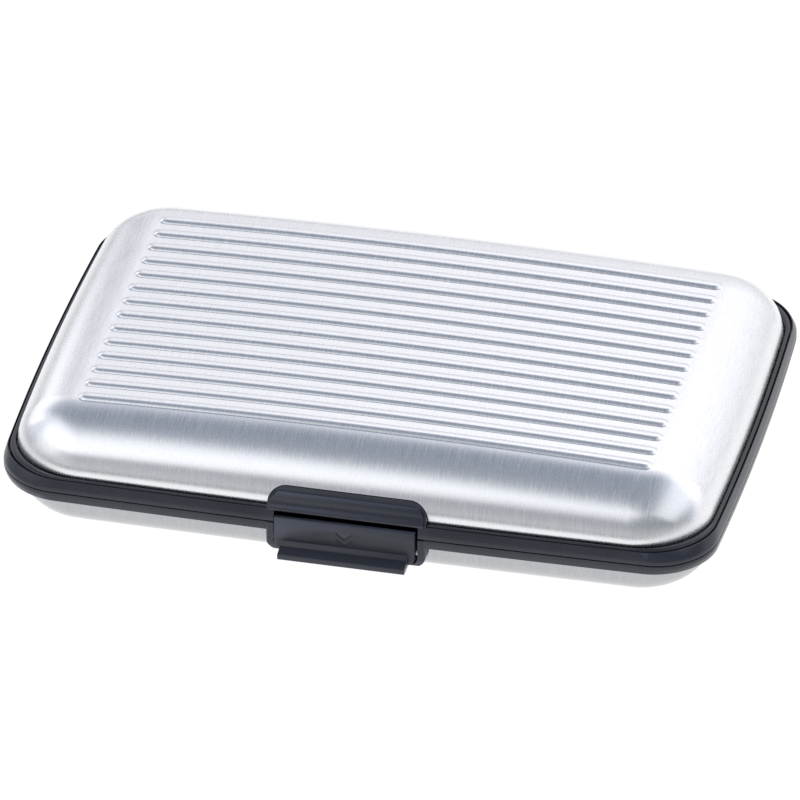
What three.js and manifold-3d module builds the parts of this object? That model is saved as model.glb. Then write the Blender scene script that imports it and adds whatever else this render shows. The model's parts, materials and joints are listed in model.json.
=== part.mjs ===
// Hard eyeglasses case: two ribbed aluminium covers in plastic frames, hinged at the back and
// held shut by a press latch at the front. Millimetres, +X along the length, -Y to the latch,
// +Z up, origin on the surface that the case lies on, under the middle of the case.
import * as THREE from 'three';
import { mergeVertices } from 'three/addons/utils/BufferGeometryUtils.js';
import Module from 'manifold-3d';

const wasm = await Module();
wasm.setup();

// Overall size
const CASE_LENGTH = 165;
const CASE_DEPTH = 112.8;
const HALF_HEIGHT = 14.7; // from the parting plane down to the lower ribs' crests
const CORNER_RADIUS = 13.1;
const SHORT_SIDE_BOW = 1.64;
const LONG_SIDE_BOW = 1.01;
const GAP = 0.3; // clearance between neighbouring pieces
const FRONT = -CASE_DEPTH / 2;

// Frames: an outer band, and an inner flange that carries the ring, the cover and the tray
const UPPER_BAND = 3;
const LOWER_BAND = 2.4;
const BAND_WALL = 0.75;
const BAND_UPRIGHT = 0.9; // the height at which the band's face starts to lean inward
const UPPER_LEAN = 0.6;
const LOWER_LEAN = 0.3;
const FLANGE_THICKNESS = 1.2;
const FLANGE_REACH = 4.6;

// Retaining ring, a bead around the foot of each cover
const RING_WIDTH = 0.9;
const RING_INSET = BAND_WALL + GAP;

// Covers: a skirt inside the ring, an elliptical shoulder and a ribbed top
const COVER_INSET = 2.25;
const COVER_CORNER_RADIUS = 15.75;
const COVER_SHEET = 0.8;
const COVER_CROWN = 1.2; // how much higher the lid's ribs are at their middle
const SHOULDER_START = 2.9; // above the parting plane
const SHOULDER_RUN_X = 15;
const SHOULDER_RUN_Y = 16.7;
const RIB_COUNT = 14;
const RIB_PITCH = 5.785;
const RIB_HALF_LENGTH = 65;
const RIB_END = 1.3;
const LID_RIB = { height: 0.5, foot: 3.2, crest: 1.7 };
const BASE_RIB = { height: 0.9, foot: 2.9, crest: 1.4 };
const LID_LAND = 14.5; // from the parting plane to the land between the ribs
const BASE_LAND = HALF_HEIGHT - BASE_RIB.height;

// Flocked trays and foam pads
const TRAY_WALL = 0.8;
const TRAY_INSET = FLANGE_REACH + GAP;
const TRAY_UP = 12.6; // from the parting plane to the tray's back
const TRAY_RIM = 1.2;
const PAD_THICKNESS = 1.6;
const PAD_HALF_X = 62;
const PAD_HALF_Y = 35;
const PAD_RADIUS = 6;

// Latch, measured forward from the front of the band and up from the parting plane
const FLAP_WIDTH = 31.9;
const LIP_WIDTH = 28.9;
const FLAP_TOP = 2.1;
const FLAP_PROUD = 1.4;
const FLAP_BACK = 0.3;
const LIP_REACH = 5;
const LIP_BOTTOM = -6.6;
const CHEEK_INNER = FLAP_WIDTH / 2 + 0.45;
const CHEEK_OUTER = 18.2;
const CHEEK_PROUD = 0.25;
const LUG_BOTTOM = -8;
const LUG_CORNER = 4;
const POCKET_BOTTOM = -7.35;
const POCKET_CORNER = 2.6;
const FLAP_CORNER = 2.2;
const LUG_BACK_WALL = -3.4;
const LUG_BACK = -4.5;
const HOOD_HALF_WIDTH = 17.7;
const TAB_HALF_WIDTH = 18.2;
const TAB_TOP = 7.7;
const TAB_CORNER = 4.2;
const RECESS_FACE = -0.7; // the floor of the finger recess between the hood and the flap
const LEDGE_HALF_WIDTH = 14.5;
const LEDGE_TOP = 1.4;
const LATCH_AXIS_FORWARD = -1.3;
const LATCH_AXIS_UP = -4.2;
const BOSS_RADIUS = 1.7;
const BOSS_INNER_END = 4;
const SPRING_WIRE = 0.2; // radius
const SPRING_COIL = 1.3; // radius to the middle of the wire
const SPRING_TURNS = 5;
const SPRING_PITCH = 1;

// Hinges
const HINGE_OFFSET = 2.6; // from the back of the band to the hinge axis
const KNUCKLE_RADIUS = 2.2;
const KNUCKLE_LENGTHS = [7, 10, 7];
const HINGE_SPACING = 48; // from the middle of the case to the middle of each hinge
const PIN_RADIUS = 0.8;
const PIN_BORE = PIN_RADIUS + GAP;

// Facets
const CORNER_STEPS = 5;
const SIDE_STEPS = 4;
const SHOULDER_STEPS = 5;
const ROUND_STEPS = 14;

const UPPER = {
  side: 1, band: UPPER_BAND, lean: UPPER_LEAN, crown: COVER_CROWN, land: LID_LAND, rib: LID_RIB,
};
const LOWER = {
  side: -1, band: LOWER_BAND, lean: LOWER_LEAN, crown: 0, land: BASE_LAND, rib: BASE_RIB,
};

// Colours and finishes
const ALUMINIUM = { color: 0xd4d9de, roughness: 0.38, metalness: 0.9 };
const FRAME_PLASTIC = { color: 0x24272d, roughness: 0.5, metalness: 0 };
const FLOCK = { color: 0x2b2d33, roughness: 0.95, metalness: 0 };
const FOAM = { color: 0x3a3d45, roughness: 1, metalness: 0 };
const STEEL = { color: 0xb9bcc0, roughness: 0.3, metalness: 1 };

// ---- Geometry helpers ----

// A cover-like outline: a rounded rectangle whose four sides bow outward.
function outline(halfX, halfY, radius, z, bow = 1) {
  const bowX = SHORT_SIDE_BOW * bow;
  const bowY = LONG_SIDE_BOW * bow;
  const a = halfX - bowX;
  const b = halfY - bowY;
  const corners = [[1, 1], [-1, 1], [-1, -1], [1, -1]];
  const points = [];
  corners.forEach(([signX, signY], quarter) => {
    for (let i = 0; i <= CORNER_STEPS; i += 1) {
      const angle = (quarter + i / CORNER_STEPS) * Math.PI / 2;
      const x = signX * (a - radius) + radius * Math.cos(angle);
      const y = signY * (b - radius) + radius * Math.sin(angle);
      points.push([x, y]);
    }
    const [startX, startY] = points.at(-1);
    const next = corners[(quarter + 1) % 4];
    const endAngle = (quarter + 1) * Math.PI / 2;
    const endX = next[0] * (a - radius) + radius * Math.cos(endAngle);
    const endY = next[1] * (b - radius) + radius * Math.sin(endAngle);
    for (let i = 1; i < SIDE_STEPS; i += 1) {
      const t = i / SIDE_STEPS;
      points.push([startX + (endX - startX) * t, startY + (endY - startY) * t]);
    }
  });
  return points.map(([x, y]) => new THREE.Vector3(
    x + bowX * (x / a) * (1 - (y / b) ** 2),
    y + bowY * (y / b) * (1 - (x / a) ** 2),
    z,
  ));
}

// The corner radius grows from the band to the cover, then shrinks as an inward offset does.
function cornerRadius(inset) {
  if (inset <= COVER_INSET) {
    return CORNER_RADIUS + (COVER_CORNER_RADIUS - CORNER_RADIUS) * inset / COVER_INSET;
  }
  return COVER_CORNER_RADIUS - (inset - COVER_INSET);
}

function insetOutline(inset, z) {
  const halfX = CASE_LENGTH / 2 - inset;
  const halfY = CASE_DEPTH / 2 - inset;
  return outline(halfX, halfY, cornerRadius(inset), z);
}

function signedVolume(positions, indices) {
  let sum = 0;
  const [a, b, c] = [new THREE.Vector3(), new THREE.Vector3(), new THREE.Vector3()];
  for (let i = 0; i < indices.length; i += 3) {
    a.fromArray(positions, indices[i] * 3);
    b.fromArray(positions, indices[i + 1] * 3);
    c.fromArray(positions, indices[i + 2] * 3);
    sum += a.dot(b.cross(c));
  }
  return sum / 6;
}

// Joins rings of points into one closed solid, either capped at both ends or looped.
function loft(rings, looped = false) {
  const count = rings[0].length;
  const positions = rings.flat().flatMap((point) => point.toArray());
  const indices = [];
  const bands = looped ? rings.length : rings.length - 1;
  for (let r = 0; r < bands; r += 1) {
    const here = r * count;
    const next = ((r + 1) % rings.length) * count;
    for (let i = 0; i < count; i += 1) {
      const j = (i + 1) % count;
      indices.push(here + i, here + j, next + j);
      indices.push(here + i, next + j, next + i);
    }
  }
  if (!looped) {
    [[0, true], [rings.length - 1, false]].forEach(([r, reversed]) => {
      const middle = positions.length / 3;
      const centre = new THREE.Vector3();
      rings[r].forEach((point) => centre.addScaledVector(point, 1 / count));
      positions.push(...centre.toArray());
      for (let i = 0; i < count; i += 1) {
        const [from, to] = [r * count + i, r * count + (i + 1) % count];
        indices.push(...(reversed ? [middle, to, from] : [middle, from, to]));
      }
    });
  }
  if (signedVolume(positions, indices) < 0) {
    indices.reverse();
  }
  const geometry = new THREE.BufferGeometry();
  geometry.setAttribute('position', new THREE.Float32BufferAttribute(positions, 3));
  geometry.setIndex(indices);
  return geometry;
}

function toSolid(geometry) {
  const bare = geometry.clone();
  bare.deleteAttribute('normal');
  bare.deleteAttribute('uv');
  const merged = mergeVertices(bare, 1e-5);
  return new wasm.Manifold(new wasm.Mesh({
    numProp: 3,
    vertProperties: new Float32Array(merged.attributes.position.array),
    triVerts: new Uint32Array(merged.index.array),
  }));
}

function toGeometry(solid) {
  const mesh = solid.getMesh();
  const geometry = new THREE.BufferGeometry();
  geometry.setAttribute('position', new THREE.Float32BufferAttribute(mesh.vertProperties, 3));
  geometry.setIndex(Array.from(mesh.triVerts));
  return geometry;
}

// Extrudes an outline between two stations of a row axis: its points are (y, z) along x,
// (x, z) along y and (x, y) along z.
function extrude(points, axis, from, to) {
  const shape = new THREE.Shape(points.map(([u, v]) => new THREE.Vector2(u, v)));
  const geometry = new THREE.ExtrudeGeometry(shape, { depth: to - from, bevelEnabled: false });
  const [X, Y, Z] = [
    new THREE.Vector3(1, 0, 0),
    new THREE.Vector3(0, 1, 0),
    new THREE.Vector3(0, 0, 1),
  ];
  const bases = { x: [Y, Z, X], y: [X, Z, Y.clone().negate()], z: [X, Y, Z] };
  geometry.applyMatrix4(new THREE.Matrix4().makeBasis(...bases[axis]));
  const start = axis === 'y' ? to : from;
  geometry.translate(
    axis === 'x' ? start : 0,
    axis === 'y' ? start : 0,
    axis === 'z' ? start : 0,
  );
  return toSolid(geometry);
}

function circle(u, v, radius, steps = ROUND_STEPS) {
  return Array.from({ length: steps }, (_, i) => {
    const angle = (i / steps) * Math.PI * 2;
    return [u + radius * Math.cos(angle), v + radius * Math.sin(angle)];
  });
}

function box(x0, x1, y0, y1, z0, z1) {
  return extrude([[x0, y0], [x1, y0], [x1, y1], [x0, y1]], 'z', z0, z1);
}

// A latch profile: points are (forward, up) from the front of the band and the parting plane.
function latchProfile(points) {
  return points.map(([forward, up]) => [FRONT - forward, HALF_HEIGHT + up]);
}

// A rectangle in the (x, z) plane whose corners on the far side of the parting are rounded.
function tabWindow(halfWidth, near, far, radius) {
  const sign = Math.sign(far);
  const points = [[-halfWidth, HALF_HEIGHT + near], [halfWidth, HALF_HEIGHT + near]];
  [1, -1].forEach((end) => {
    for (let i = 0; i <= CORNER_STEPS; i += 1) {
      const t = (end > 0 ? i : CORNER_STEPS - i) / CORNER_STEPS * Math.PI / 2;
      const x = end * (halfWidth - radius + radius * Math.cos(t));
      const z = HALF_HEIGHT + far - sign * radius * (1 - Math.sin(t));
      points.push([x, z]);
    }
  });
  return sign > 0 ? points : points.reverse();
}

// ---- Covers ----

// One ring of a pressed cover or tray: turn goes from 0 at the foot to a quarter at the top.
function shoulderRing(half, shape, turn) {
  const out = Math.cos(turn);
  const up = Math.sin(turn);
  const halfX = CASE_LENGTH / 2 - shape.inset - shape.runX * (1 - out);
  const halfY = CASE_DEPTH / 2 - shape.inset - shape.runY * (1 - out);
  const footRadius = cornerRadius(shape.inset);
  const radius = Math.max(footRadius - shape.runX * (1 - out), 1);
  const ring = outline(halfX, halfY, radius, 0, out);
  ring.forEach((point) => {
    const crown = half.crown * Math.max(0, 1 - (point.x / RIB_HALF_LENGTH) ** 2);
    const height = SHOULDER_START + (shape.rise + crown) * up;
    point.z = HALF_HEIGHT + half.side * height;
  });
  return ring;
}

function shoulderRings(half, shape) {
  return Array.from({ length: SHOULDER_STEPS + 1 }, (_, i) => (
    shoulderRing(half, shape, (i / SHOULDER_STEPS) * Math.PI / 2)
  ));
}

// The crowned lid top is drawn towards its middle line in steps, so that it stays smooth.
function topRings(half, edge) {
  if (half.crown === 0) {
    return [];
  }
  return [0.66, 0.33].map((scale) => edge.map((point) => {
    const x = point.x * scale;
    const drop = (1 - (x / RIB_HALF_LENGTH) ** 2) - (1 - (point.x / RIB_HALF_LENGTH) ** 2);
    return new THREE.Vector3(x, point.y * scale, point.z + half.crown * drop);
  }));
}

function ribSolid(half, y) {
  const stations = [-1, -0.98, -0.6, -0.2, 0.2, 0.6, 0.98, 1].map((t) => t * (RIB_HALF_LENGTH + RIB_END));
  const { land, rib } = half;
  const rings = stations.map((x, i) => {
    const atEnd = i === 0 || i === stations.length - 1;
    const crown = half.crown * Math.max(0, 1 - (x / RIB_HALF_LENGTH) ** 2);
    const foot = land - COVER_SHEET / 2 + crown;
    const crest = atEnd ? land - COVER_SHEET / 4 : land + rib.height + crown;
    const crestHalf = atEnd ? rib.crest / 4 : rib.crest / 2;
    return [
      [-rib.foot / 2, foot], [rib.foot / 2, foot], [crestHalf, crest], [-crestHalf, crest],
    ].map(([dy, height]) => new THREE.Vector3(x, y + dy, HALF_HEIGHT + half.side * height));
  });
  return toSolid(loft(rings));
}

function coverSolid(half) {
  const skirt = FLANGE_THICKNESS + GAP * 1.5;
  const rise = half.land - SHOULDER_START;
  const outer = { inset: COVER_INSET, runX: SHOULDER_RUN_X, runY: SHOULDER_RUN_Y, rise };
  const inner = {
    inset: COVER_INSET + COVER_SHEET,
    runX: SHOULDER_RUN_X - COVER_SHEET,
    runY: SHOULDER_RUN_Y - COVER_SHEET,
    rise: rise - COVER_SHEET,
  };
  const outerRings = shoulderRings(half, outer);
  const innerRings = shoulderRings(half, inner);
  const rings = [
    ...topRings(half, innerRings.at(-1)).reverse(),
    ...innerRings.reverse(),
    insetOutline(inner.inset, HALF_HEIGHT + half.side * skirt),
    insetOutline(outer.inset, HALF_HEIGHT + half.side * skirt),
    ...outerRings,
    ...topRings(half, outerRings.at(-1)),
  ];
  let solid = toSolid(loft(rings));
  for (let i = 0; i < RIB_COUNT; i += 1) {
    solid = solid.add(ribSolid(half, (i - (RIB_COUNT - 1) / 2) * RIB_PITCH));
  }
  return solid;
}

// The opening in the front of a cover for the latch parts of its frame.
function coverNotch(half) {
  const upper = half.side > 0;
  const halfWidth = (upper ? TAB_HALF_WIDTH : CHEEK_OUTER) + GAP;
  const far = upper ? TAB_TOP + GAP : LUG_BOTTOM - GAP;
  const window = tabWindow(halfWidth, half.side * GAP, far, TAB_CORNER + GAP);
  return extrude(window, 'y', FRONT - 1, FRONT + SHOULDER_RUN_Y / 2);
}

// ---- Frames, rings, trays and pads ----

function frameRing(half) {
  const start = GAP / 2;
  const flangeTop = start + FLANGE_THICKNESS;
  const profile = [
    [0, start], [0, BAND_UPRIGHT], [half.lean, half.band],
    [BAND_WALL, half.band], [BAND_WALL, flangeTop],
    [FLANGE_REACH, flangeTop], [FLANGE_REACH, start],
  ];
  const rings = profile.map(([inset, up]) => insetOutline(inset, HALF_HEIGHT + half.side * up));
  return toSolid(loft(rings, true));
}

function retainingRing(half) {
  const foot = FLANGE_THICKNESS + GAP * 1.5;
  const top = half.band + 0.2;
  const outer = RING_INSET + RING_WIDTH;
  const profile = [
    [RING_INSET, foot], [RING_INSET, top - 0.4], [RING_INSET + 0.3, top],
    [outer - 0.3, top], [outer, top - 0.4], [outer, foot],
  ];
  const rings = profile.map(([inset, up]) => insetOutline(inset, HALF_HEIGHT + half.side * up));
  return toSolid(loft(rings, true));
}

function traySolid(half) {
  const rimTop = GAP / 2 + FLANGE_THICKNESS + GAP + TRAY_WALL;
  const shrink = TRAY_INSET - COVER_INSET;
  const flat = { ...half, crown: 0 };
  const outer = {
    inset: TRAY_INSET,
    runX: SHOULDER_RUN_X - shrink + 0.3,
    runY: SHOULDER_RUN_Y - shrink + 0.3,
    rise: TRAY_UP - SHOULDER_START,
  };
  const inner = {
    inset: TRAY_INSET + TRAY_WALL,
    runX: outer.runX - TRAY_WALL,
    runY: outer.runY - TRAY_WALL,
    rise: outer.rise - TRAY_WALL,
  };
  const at = (inset, up) => insetOutline(inset, HALF_HEIGHT + half.side * up);
  const rings = [
    ...shoulderRings(flat, inner).reverse(),
    at(inner.inset, GAP * 1.5),
    at(outer.inset, GAP * 1.5),
    at(outer.inset, rimTop - TRAY_WALL),
    at(outer.inset - TRAY_RIM, rimTop - TRAY_WALL),
    at(outer.inset - TRAY_RIM, rimTop),
    at(outer.inset, rimTop),
    ...shoulderRings(flat, outer),
  ];
  const rimNotch = box(
    -CHEEK_OUTER - GAP, CHEEK_OUTER + GAP, FRONT - 1, FRONT - LUG_BACK + GAP, -1, HALF_HEIGHT * 2 + 1,
  );
  return toSolid(loft(rings)).subtract(rimNotch);
}

function padSolid(half) {
  const floor = TRAY_UP - TRAY_WALL - GAP;
  const edge = 0.5;
  const levels = [
    [edge, floor], [0, floor - edge], [0, floor - PAD_THICKNESS + edge], [edge, floor - PAD_THICKNESS],
  ];
  return toSolid(loft(levels.map(([inset, up]) => (
    outline(PAD_HALF_X - inset, PAD_HALF_Y - inset, PAD_RADIUS, HALF_HEIGHT + half.side * up, 0)
  ))));
}

// ---- Latch ----

const LATCH_AXIS = [FRONT - LATCH_AXIS_FORWARD, HALF_HEIGHT + LATCH_AXIS_UP];

// The catch tab on the upper frame: a plate in the cover's notch, a hood and the catch ledge.
function catchTab() {
  const start = GAP / 2;
  const plate = extrude(latchProfile([
    [LUG_BACK, start], [LUG_BACK, TAB_TOP], [-3.6, TAB_TOP], [-2.75, 6.5],
    [-2, 5], [RECESS_FACE, 3.4], [RECESS_FACE, start],
  ]), 'x', -TAB_HALF_WIDTH, TAB_HALF_WIDTH);
  const hood = extrude(latchProfile([
    [-3.2, 6], [-2.6, 6.8], [-0.9, 5.3], [0.05, 3.5], [0, 3.05], [-1.2, 2.95], [-1.6, 3.4],
  ]), 'x', -HOOD_HALF_WIDTH, HOOD_HALF_WIDTH);
  const front = extrude(tabWindow(TAB_HALF_WIDTH, start, TAB_TOP, TAB_CORNER), 'y', FRONT - 6, FRONT + 6);
  const ledge = box(
    -LEDGE_HALF_WIDTH, LEDGE_HALF_WIDTH, FRONT, FRONT - RECESS_FACE + 0.3,
    HALF_HEIGHT + start, HALF_HEIGHT + LEDGE_TOP,
  );
  return plate.add(hood).intersect(front).add(ledge);
}

// The lug on the lower frame, a block that the pocket for the flap and its pin is cut into.
function latchLug() {
  const start = -GAP / 2;
  const block = extrude(latchProfile([
    [LUG_BACK, start], [LUG_BACK, LUG_BOTTOM], [-1.6, LUG_BOTTOM], [-0.4, -7.3],
    [0.1, -5.8], [CHEEK_PROUD, -4], [CHEEK_PROUD, start],
  ]), 'x', -CHEEK_OUTER, CHEEK_OUTER);
  const plan = [
    [-CHEEK_OUTER, -0.4], [0.7 - CHEEK_OUTER, CHEEK_PROUD], [CHEEK_OUTER - 0.7, CHEEK_PROUD],
    [CHEEK_OUTER, -0.4], [CHEEK_OUTER, LUG_BACK], [-CHEEK_OUTER, LUG_BACK],
  ].map(([x, forward]) => [x, FRONT - forward]);
  const rounded = extrude(plan, 'z', HALF_HEIGHT + LUG_BOTTOM, HALF_HEIGHT + start);
  const front = extrude(tabWindow(CHEEK_OUTER, start, LUG_BOTTOM, LUG_CORNER), 'y', FRONT - 6, FRONT + 6);
  return block.intersect(rounded).intersect(front);
}

function flapSolid() {
  const plate = extrude(latchProfile([
    [FLAP_BACK, -2.6], [FLAP_BACK, 1.4], [0.12, 1.7], [0.12, FLAP_TOP], [1, FLAP_TOP],
    [FLAP_PROUD - 0.1, 1.7], [FLAP_PROUD, 0.5], [FLAP_PROUD, -2.5], [FLAP_PROUD - 0.1, -5.6],
    [0.9, LIP_BOTTOM], [-0.2, LIP_BOTTOM], [LATCH_AXIS_FORWARD, LATCH_AXIS_UP - BOSS_RADIUS],
    [LATCH_AXIS_FORWARD, LATCH_AXIS_UP + BOSS_RADIUS],
  ]), 'x', -FLAP_WIDTH / 2, FLAP_WIDTH / 2);
  const outlineOfFlap = tabWindow(FLAP_WIDTH / 2, FLAP_TOP + 0.1, LIP_BOTTOM, FLAP_CORNER);
  const front = extrude(outlineOfFlap, 'y', FRONT - 6, FRONT + 6);
  const lip = extrude(latchProfile([
    [1, -3.6], [1.6, -4], [2.3, -4.6], [LIP_REACH - 0.2, -5.1], [LIP_REACH, -5.4],
    [LIP_REACH, LIP_BOTTOM + 0.3], [LIP_REACH - 0.3, LIP_BOTTOM], [1, LIP_BOTTOM],
  ]), 'x', -LIP_WIDTH / 2, LIP_WIDTH / 2);
  const boss = extrude(circle(...LATCH_AXIS, BOSS_RADIUS), 'x', -FLAP_WIDTH / 2, FLAP_WIDTH / 2);
  const springSlot = box(
    -BOSS_INNER_END, BOSS_INNER_END, FRONT - FLAP_BACK, FRONT + 6,
    HALF_HEIGHT + LIP_BOTTOM - 1, HALF_HEIGHT,
  );
  const bore = extrude(circle(...LATCH_AXIS, PIN_BORE), 'x', -FLAP_WIDTH, FLAP_WIDTH);
  return plate.intersect(front).add(lip).add(boss).subtract(springSlot).subtract(bore);
}

function pinSolid(x0, x1, y, z) {
  const tip = 0.3;
  const rings = [[x0, PIN_RADIUS - tip], [x0 + tip, PIN_RADIUS], [x1 - tip, PIN_RADIUS], [x1, PIN_RADIUS - tip]];
  return toSolid(loft(rings.map(([x, radius]) => (
    circle(y, z, radius, 12).map(([u, v]) => new THREE.Vector3(x, u, v))
  ))));
}

// A torsion spring round the latch pin, its legs bearing on the flap and on the lug's wall.
function springGeometry() {
  const [axisY, axisZ] = LATCH_AXIS;
  const turnsPerStep = 1 / 10;
  const points = [];
  const half = SPRING_TURNS / 2;
  points.push(new THREE.Vector3(-half * SPRING_PITCH, axisY - SPRING_COIL, axisZ + 3));
  for (let turn = -half; turn <= half + 1e-6; turn += turnsPerStep) {
    const angle = Math.PI + turn * 2 * Math.PI + half * 2 * Math.PI;
    points.push(new THREE.Vector3(
      turn * SPRING_PITCH,
      axisY + SPRING_COIL * Math.cos(angle),
      axisZ + SPRING_COIL * Math.sin(angle),
    ));
  }
  points.push(new THREE.Vector3(half * SPRING_PITCH, axisY - SPRING_COIL, axisZ - 1.8));
  const section = new THREE.Shape(circle(0, 0, SPRING_WIRE, 5).map(([u, v]) => new THREE.Vector2(u, v)));
  const curve = new THREE.CatmullRomCurve3(points, false, 'catmullrom', 0.5);
  return new THREE.ExtrudeGeometry(section, { steps: points.length * 2, extrudePath: curve });
}

// ---- Hinges ----

const HINGE_AXIS = [CASE_DEPTH / 2 + HINGE_OFFSET, HALF_HEIGHT];

// The stations of one hinge's knuckles along x: base, lid, base.
function knuckleSpans(side) {
  const total = KNUCKLE_LENGTHS.reduce((sum, length) => sum + length, 0);
  let x = side * HINGE_SPACING - total / 2;
  return KNUCKLE_LENGTHS.map((length) => {
    const span = [x + GAP / 2, x + length - GAP / 2];
    x += length;
    return span;
  });
}

function knuckleSolid(half, [x0, x1]) {
  const [axisY, axisZ] = HINGE_AXIS;
  const barrel = extrude(circle(axisY, axisZ, KNUCKLE_RADIUS), 'x', x0, x1);
  const reach = CASE_DEPTH / 2 - RING_INSET;
  const web = [
    [reach, half.side * (GAP / 2 + 0.1)], [reach, half.side * (half.band - 0.1)],
    [CASE_DEPTH / 2 - 0.2, half.side * (half.band - 0.1)], [axisY, half.side * KNUCKLE_RADIUS * 0.99],
    [axisY, half.side * (GAP / 2 + 0.1)],
  ].map(([y, up]) => [y, axisZ + up]);
  return barrel.add(extrude(half.side > 0 ? web.reverse() : web, 'x', x0, x1));
}

function addKnuckles(frame, half) {
  let solid = frame;
  [-1, 1].forEach((side) => {
    const spans = knuckleSpans(side);
    const own = half.side > 0 ? [spans[1]] : [spans[0], spans[2]];
    own.forEach((span) => {
      solid = solid.add(knuckleSolid(half, span));
    });
    const bore = extrude(circle(...HINGE_AXIS, PIN_BORE), 'x', spans[0][0] - 1, spans[2][1] + 1);
    solid = solid.subtract(bore);
  });
  return solid;
}

// ---- Assembly ----

function upperFrame() {
  const recess = box(
    -CHEEK_INNER, CHEEK_INNER, FRONT - 1, FRONT - RECESS_FACE, HALF_HEIGHT - 1, HALF_HEIGHT + UPPER_BAND + 1,
  );
  return addKnuckles(frameRing(UPPER), UPPER).subtract(recess).add(catchTab());
}

function lowerFrame() {
  const opening = tabWindow(CHEEK_INNER, 1, POCKET_BOTTOM, POCKET_CORNER);
  const pocket = extrude(opening, 'y', FRONT - 6, FRONT - LUG_BACK_WALL);
  const bore = extrude(circle(...LATCH_AXIS, PIN_BORE), 'x', -CHEEK_OUTER + 0.5, CHEEK_OUTER - 0.5);
  return addKnuckles(frameRing(LOWER), LOWER).add(latchLug()).subtract(pocket).subtract(bore);
}

const group = new THREE.Group();

function addMesh(name, solid, finish) {
  const geometry = solid.isBufferGeometry ? solid : toGeometry(solid);
  geometry.computeVertexNormals();
  const mesh = new THREE.Mesh(geometry, new THREE.MeshStandardMaterial(finish));
  mesh.name = name;
  group.add(mesh);
}

[['upper', UPPER], ['lower', LOWER]].forEach(([name, half]) => {
  addMesh(`${name}_cover`, coverSolid(half).subtract(coverNotch(half)), ALUMINIUM);
  addMesh(`${name}_retaining_ring`, retainingRing(half).subtract(coverNotch(half)), FRAME_PLASTIC);
  addMesh(`${name}_tray`, traySolid(half), FLOCK);
  addMesh(`${name}_foam_pad`, padSolid(half), FOAM);
});
addMesh('upper_frame', upperFrame(), FRAME_PLASTIC);
addMesh('lower_frame', lowerFrame(), FRAME_PLASTIC);
addMesh('latch_flap', flapSolid(), FRAME_PLASTIC);
addMesh('latch_pin', pinSolid(-CHEEK_OUTER + 0.8, CHEEK_OUTER - 0.8, ...LATCH_AXIS), STEEL);
addMesh('latch_spring', springGeometry(), STEEL);
[['left', -1], ['right', 1]].forEach(([name, side]) => {
  const spans = knuckleSpans(side);
  addMesh(`hinge_pin_${name}`, pinSolid(spans[0][0], spans[2][1], ...HINGE_AXIS), STEEL);
});

export default group;
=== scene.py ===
"""Looks of a flat hard eyeglasses case: ribbed brushed-aluminium covers in satin plastic frames.

Every length below is in millimetres and is turned into metres where a mesh is made.
Heights called "up" are measured from the parting plane, towards the lid (+1) or the base (-1).
"""
import json
import math

import bmesh
import bpy
import numpy as np
from mathutils import Matrix, Vector, noise


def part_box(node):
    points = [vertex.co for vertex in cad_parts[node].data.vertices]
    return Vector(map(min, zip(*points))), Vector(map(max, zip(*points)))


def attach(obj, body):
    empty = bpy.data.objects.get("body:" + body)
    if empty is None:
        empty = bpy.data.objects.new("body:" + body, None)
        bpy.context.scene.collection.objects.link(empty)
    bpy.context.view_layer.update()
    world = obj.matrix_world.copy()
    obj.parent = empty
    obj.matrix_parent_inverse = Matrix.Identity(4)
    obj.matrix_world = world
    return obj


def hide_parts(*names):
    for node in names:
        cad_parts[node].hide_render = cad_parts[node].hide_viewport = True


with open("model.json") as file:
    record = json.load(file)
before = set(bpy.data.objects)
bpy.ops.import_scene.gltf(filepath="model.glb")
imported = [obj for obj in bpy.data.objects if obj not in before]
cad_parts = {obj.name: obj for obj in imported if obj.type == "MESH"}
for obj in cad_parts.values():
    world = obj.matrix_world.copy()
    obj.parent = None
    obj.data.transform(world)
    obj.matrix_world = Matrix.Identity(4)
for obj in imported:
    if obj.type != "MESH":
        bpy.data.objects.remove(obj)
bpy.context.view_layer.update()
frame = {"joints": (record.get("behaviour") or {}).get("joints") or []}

MM = 0.001

# ---- Driving dimensions ----

frame_low, frame_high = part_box("upper_frame")
PARTING = next(j for j in frame["joints"] if j["name"] == "lid_hinge")["pos_m"][2] / MM
CASE_LENGTH = (frame_high.x - frame_low.x) / MM
CASE_DEPTH = 112.8
CORNER_RADIUS = 13.1
SHORT_SIDE_BOW = 1.64
LONG_SIDE_BOW = 1.01
FRONT = -CASE_DEPTH / 2

GAP = 0.3
BAND_OVERRUN = 0.03  # how much further than GAP / 2 each band reaches to the parting plane
UPPER_BAND = 3.0
LOWER_BAND = 2.4
BAND_WALL = 0.75
BAND_UPRIGHT = 0.9
UPPER_LEAN = 0.6
LOWER_LEAN = 0.3
FLANGE_THICKNESS = 1.2
FLANGE_REACH = 4.6
RING_INSET = BAND_WALL + GAP
RING_WIDTH = 0.95

COVER_INSET = 2.25
COVER_CORNER_RADIUS = 15.75
COVER_SHEET = 0.5
COVER_CROWN = 1.2
SHOULDER_START = 2.9
PLATEAU_X = 65.25
PLATEAU_Y = 37.45
RIB_COUNT = 14
RIB_PITCH = 5.785
RIB_HALF_LENGTH = 65.3
RIB_HALF_WIDTH = 1.7
RIB_FOOT = 0.1
RIB_FULLNESS = 3
LID_RIB_HEIGHT = 0.55
BASE_RIB_HEIGHT = 0.9
LID_LAND_UP = 14.5
BASE_LAND_UP = 14.7 - BASE_RIB_HEIGHT

TRAY_INSET = FLANGE_REACH + GAP
TRAY_WALL = 0.8
TRAY_UP = 12.6
TRAY_RIM = 1.2
PAD_HALF_X = 62
PAD_HALF_Y = 35
PAD_RADIUS = 6
PAD_THICKNESS = 1.6

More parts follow.
